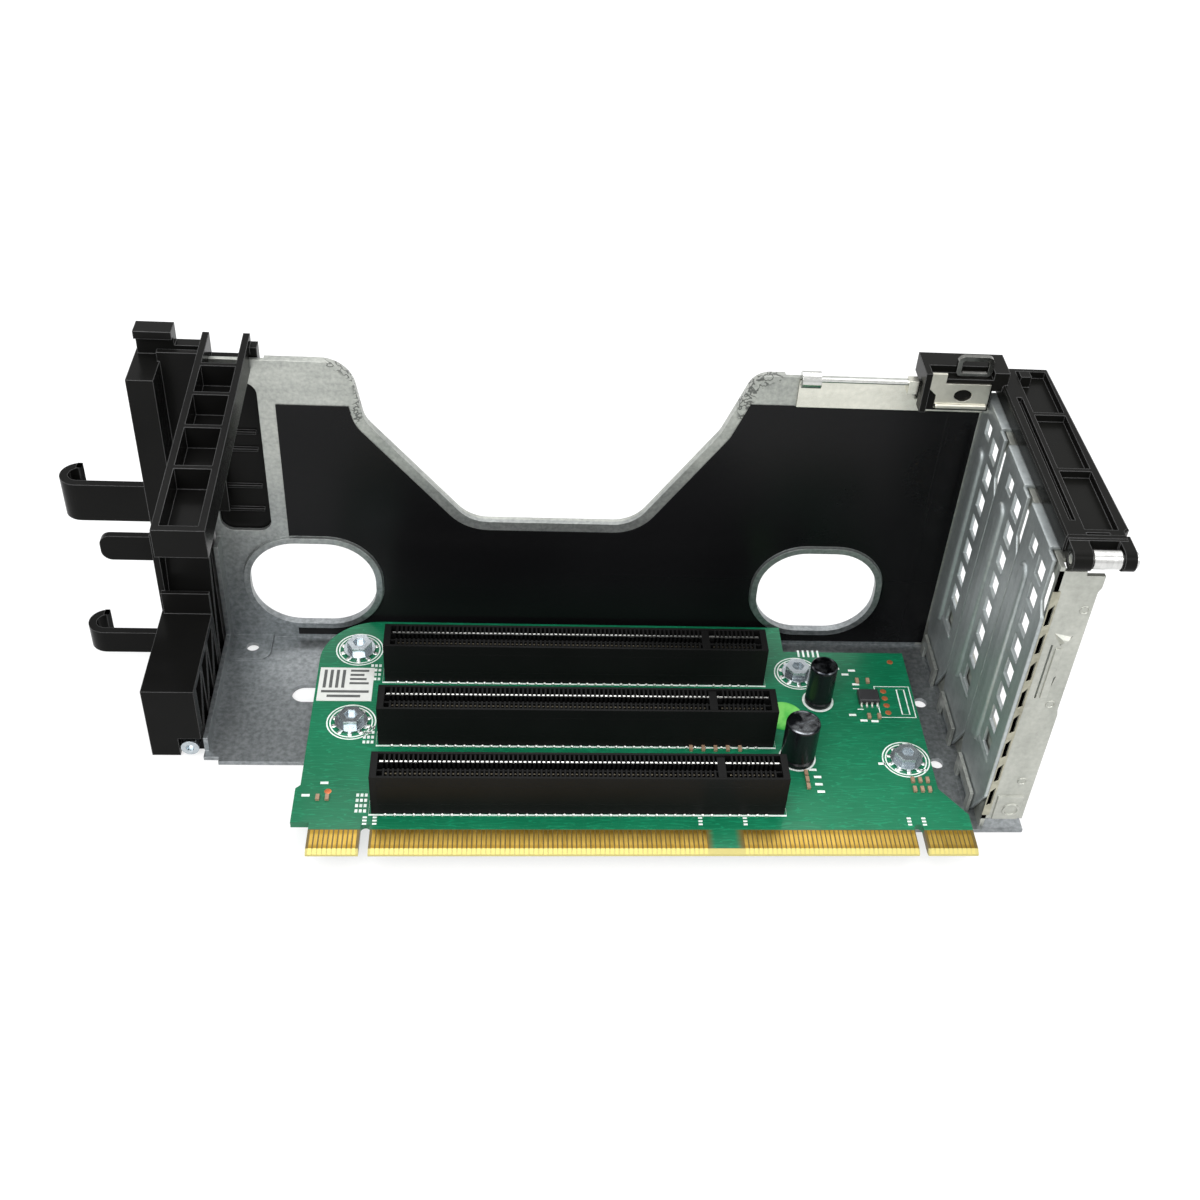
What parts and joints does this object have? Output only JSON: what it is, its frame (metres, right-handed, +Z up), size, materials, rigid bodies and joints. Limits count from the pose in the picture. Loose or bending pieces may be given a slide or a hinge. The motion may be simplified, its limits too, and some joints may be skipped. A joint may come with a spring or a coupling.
{
  "type": "server riser assembly",
  "caption": "Steel cage with a riser board and card slots, blank vented slot covers, a hinged card latch and a moulded card guide.",
  "frame": {"origin": "underside of the base plate, below the middle of its length", "axes": "+X along the slots towards the end panel and slot covers, +Y towards the back wall, +Z up, off the base plate"},
  "size_m": [0.2186, 0.0777, 0.088],
  "materials": {
    "cage_steel": "galvanised, satin",
    "strip_steel": "satin",
    "wire_steel": "bright",
    "clip_steel": "bright",
    "black_film": "satin film",
    "board_laminate": "solder mask, semi-gloss",
    "gold_plate": "plated, satin",
    "slot_plastic": "moulded, fine grain",
    "screw_steel": "plated",
    "standoff_steel": "plated",
    "can_aluminium": "bright",
    "chip_plastic": "moulded",
    "ceramic": "fired",
    "label_paper": "paper",
    "sticker_film": "paper",
    "panel_steel": "galvanised, satin",
    "gasket_steel": "spring steel",
    "cover_steel": "plated, satin",
    "pin_steel": "bright",
    "sleeve_steel": "bright",
    "latch_plastic": "moulded, fine grain",
    "leaf_steel": "plated",
    "bail_steel": "plated",
    "guide_plastic": "moulded, fine grain"
  },
  "bodies": {
    "cage": {"cage": "cage_steel", "wall_strip": "strip_steel", "wall_wire": "wire_steel", "wire_clip": "clip_steel", "insulator_film": "black_film", "riser_board": "board_laminate", "gold_fingers": "gold_plate", "card_slot_1": "slot_plastic", "card_slot_2": "slot_plastic", "card_slot_3": "slot_plastic", "board_screws": "screw_steel", "standoffs": "standoff_steel", "capacitor_front": "can_aluminium", "capacitor_rear": "can_aluminium", "memory_chip": "chip_plastic", "surface_parts": "ceramic", "board_label": "label_paper", "round_sticker": "sticker_film", "end_panel": "panel_steel", "contact_gaskets": "gasket_steel", "slot_cover_1": "cover_steel", "slot_cover_2": "cover_steel", "slot_cover_3": "cover_steel", "hinge_pin": "pin_steel", "hinge_sleeve": "sleeve_steel", "card_guide": "guide_plastic", "guide_screw": "screw_steel"},
    "latch": {"latch_arm": "latch_plastic", "latch_leaf": "leaf_steel", "latch_bail": "bail_steel"}
  },
  "joints": [
    {"name": "latch_hinge", "type": "hinge", "parent": "cage", "child": "latch", "pos_m": [0.084, -0.031, 0.0786], "axis": [1, 0, 0], "range_deg": [0, 95]}
  ]
}
